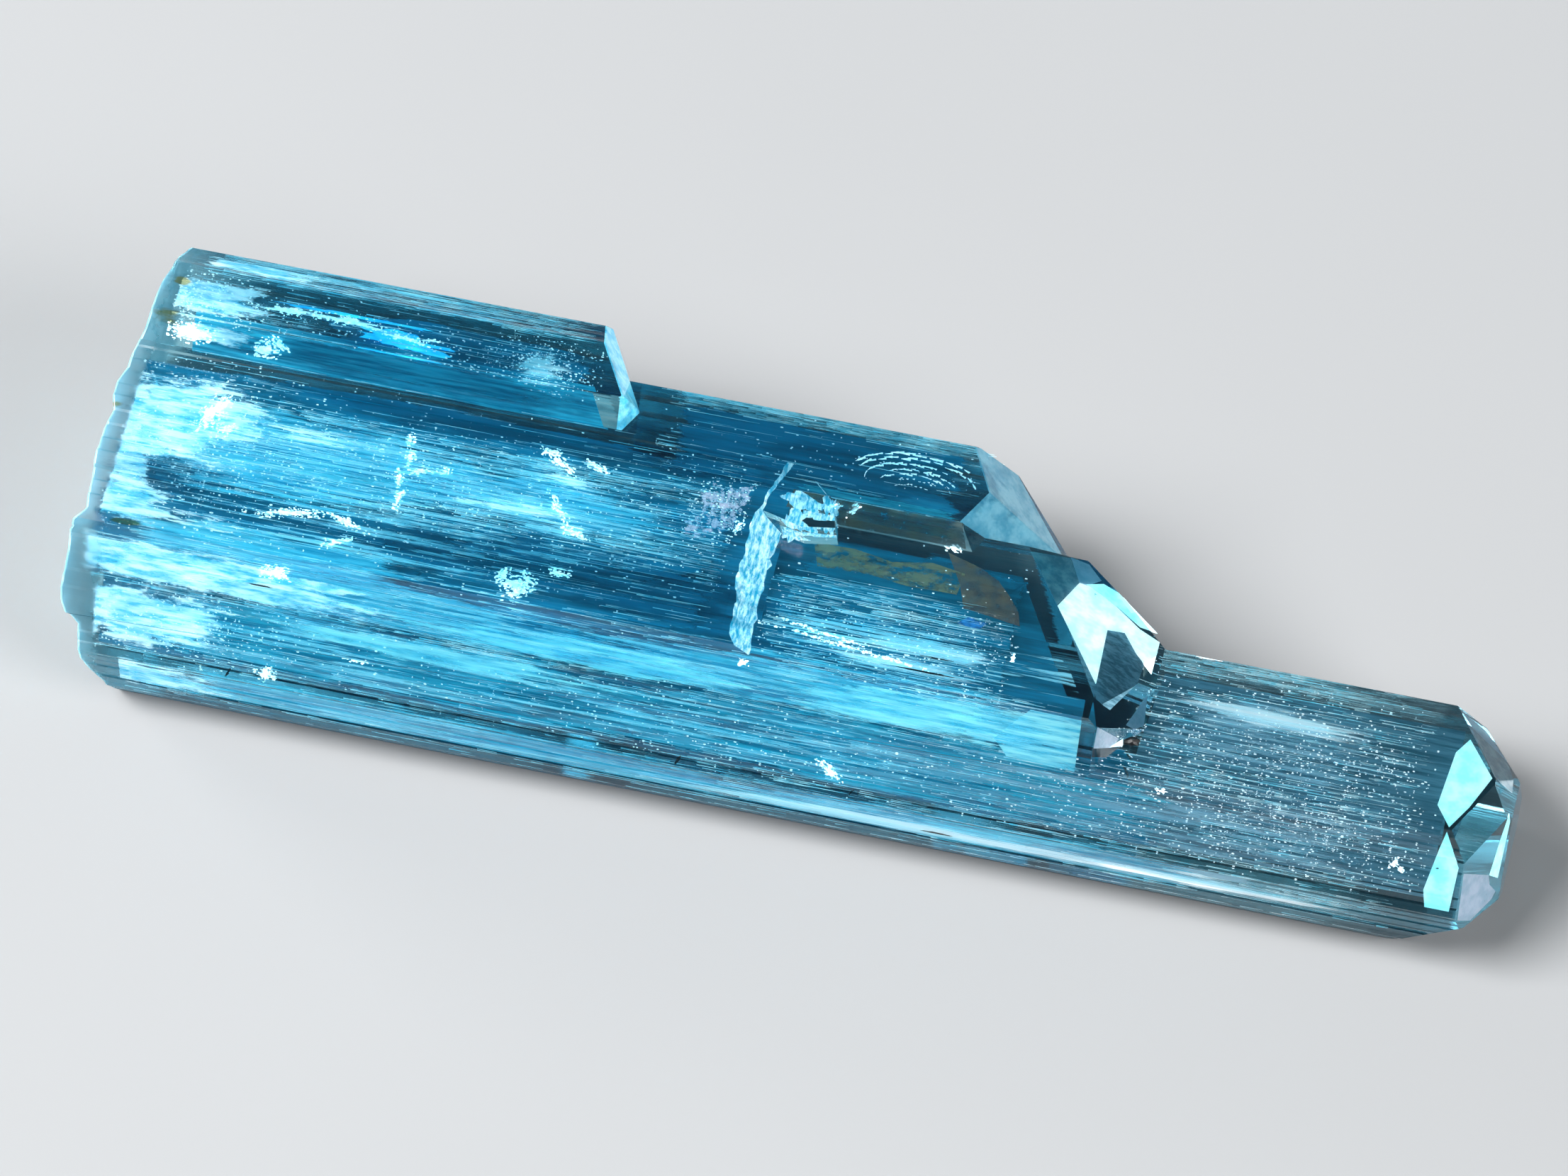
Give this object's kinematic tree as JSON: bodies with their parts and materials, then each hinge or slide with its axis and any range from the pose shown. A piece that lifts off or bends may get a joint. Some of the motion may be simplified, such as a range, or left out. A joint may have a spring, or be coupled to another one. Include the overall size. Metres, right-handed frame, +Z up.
{
  "type": "aquamarine crystal",
  "caption": "Pale blue beryl crystal group: hexagonal prisms grown side by side, stepped in length, with a faceted clear tip, a rough root end and a flat face to lie on.",
  "frame": {"origin": "centre of the bounding box's bottom face, on the surface that the crystal lies on", "axes": "+X along the crystal from its rough root end to its clear tip, +Z up, the front prism towards -Y"},
  "size_m": [0.0596, 0.0178, 0.0117],
  "materials": {
    "aquamarine": "glossy, finely striated along its length, milky and frosted at the root end, clear at the tip"
  },
  "bodies": {
    "root": {"crystal": "aquamarine"}
  },
  "joints": []
}
